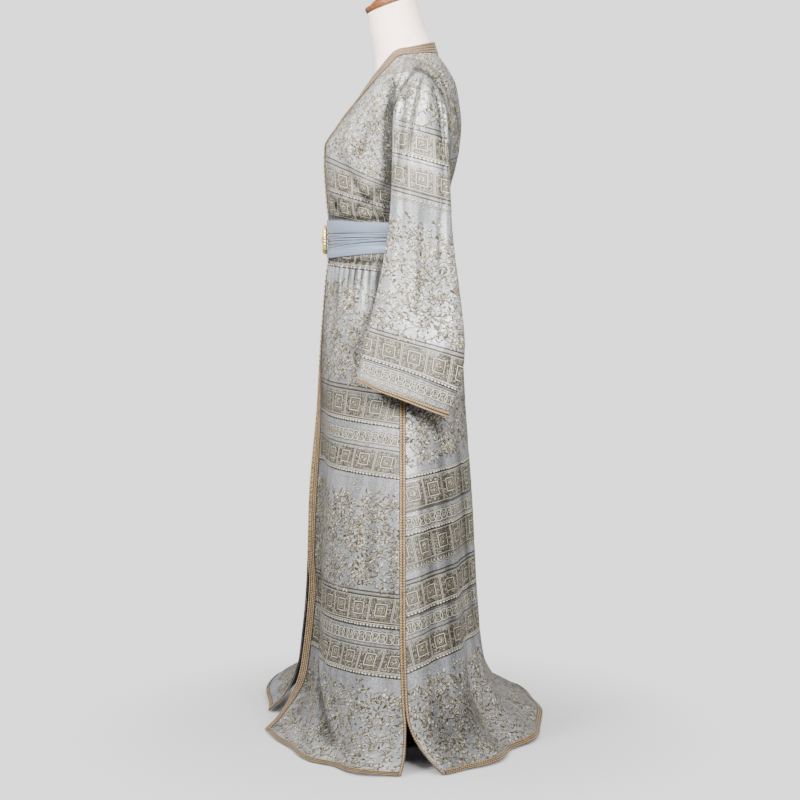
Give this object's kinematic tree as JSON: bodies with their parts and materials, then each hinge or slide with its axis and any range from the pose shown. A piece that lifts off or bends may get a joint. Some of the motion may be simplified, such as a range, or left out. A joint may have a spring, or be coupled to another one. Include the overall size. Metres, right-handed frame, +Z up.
{
  "type": "moroccan kaftan on a dress form stand",
  "caption": "Long belted kaftan of brocade with wide sleeves, front and side openings and gold braid, worn by a limbless dress form on a round stand.",
  "frame": {"origin": "centre of the stand base's underside, on the floor", "axes": "+Z up; -Y is the garment's front; +X is the wearer's left side"},
  "size_m": [0.8264, 0.6275, 1.6107],
  "materials": {
    "silver_brocade": "silver grey-blue satin with woven champagne flowers and borders",
    "gold_braid": "tan-gold silk cords sewn side by side",
    "button_thread": "small knotted gold thread buttons",
    "belt_satin": "pale blue-grey satin, pleated along its middle",
    "buckle_gold": "polished gold-coloured metal",
    "form_linen": "cream linen stretched over the form",
    "turned_wood": "varnished turned wood"
  },
  "bodies": {
    "root": {"left_front": "silver_brocade", "right_front": "silver_brocade", "back": "silver_brocade", "left_sleeve": "silver_brocade", "right_sleeve": "silver_brocade", "left_front_braid": "gold_braid", "right_front_braid": "gold_braid", "back_neck_braid": "gold_braid", "left_front_side_cord": "gold_braid", "right_front_side_cord": "gold_braid", "left_back_side_cord": "gold_braid", "right_back_side_cord": "gold_braid", "left_front_hem_braid": "gold_braid", "right_front_hem_braid": "gold_braid", "back_hem_braid": "gold_braid", "left_cuff_braid": "gold_braid", "right_cuff_braid": "gold_braid", "bodice_buttons": "button_thread", "skirt_buttons": "button_thread", "belt": "belt_satin", "buckle": "buckle_gold", "dress_form": "form_linen", "neck_cap": "turned_wood", "stand_pole": "turned_wood", "stand_base": "turned_wood"}
  },
  "joints": []
}
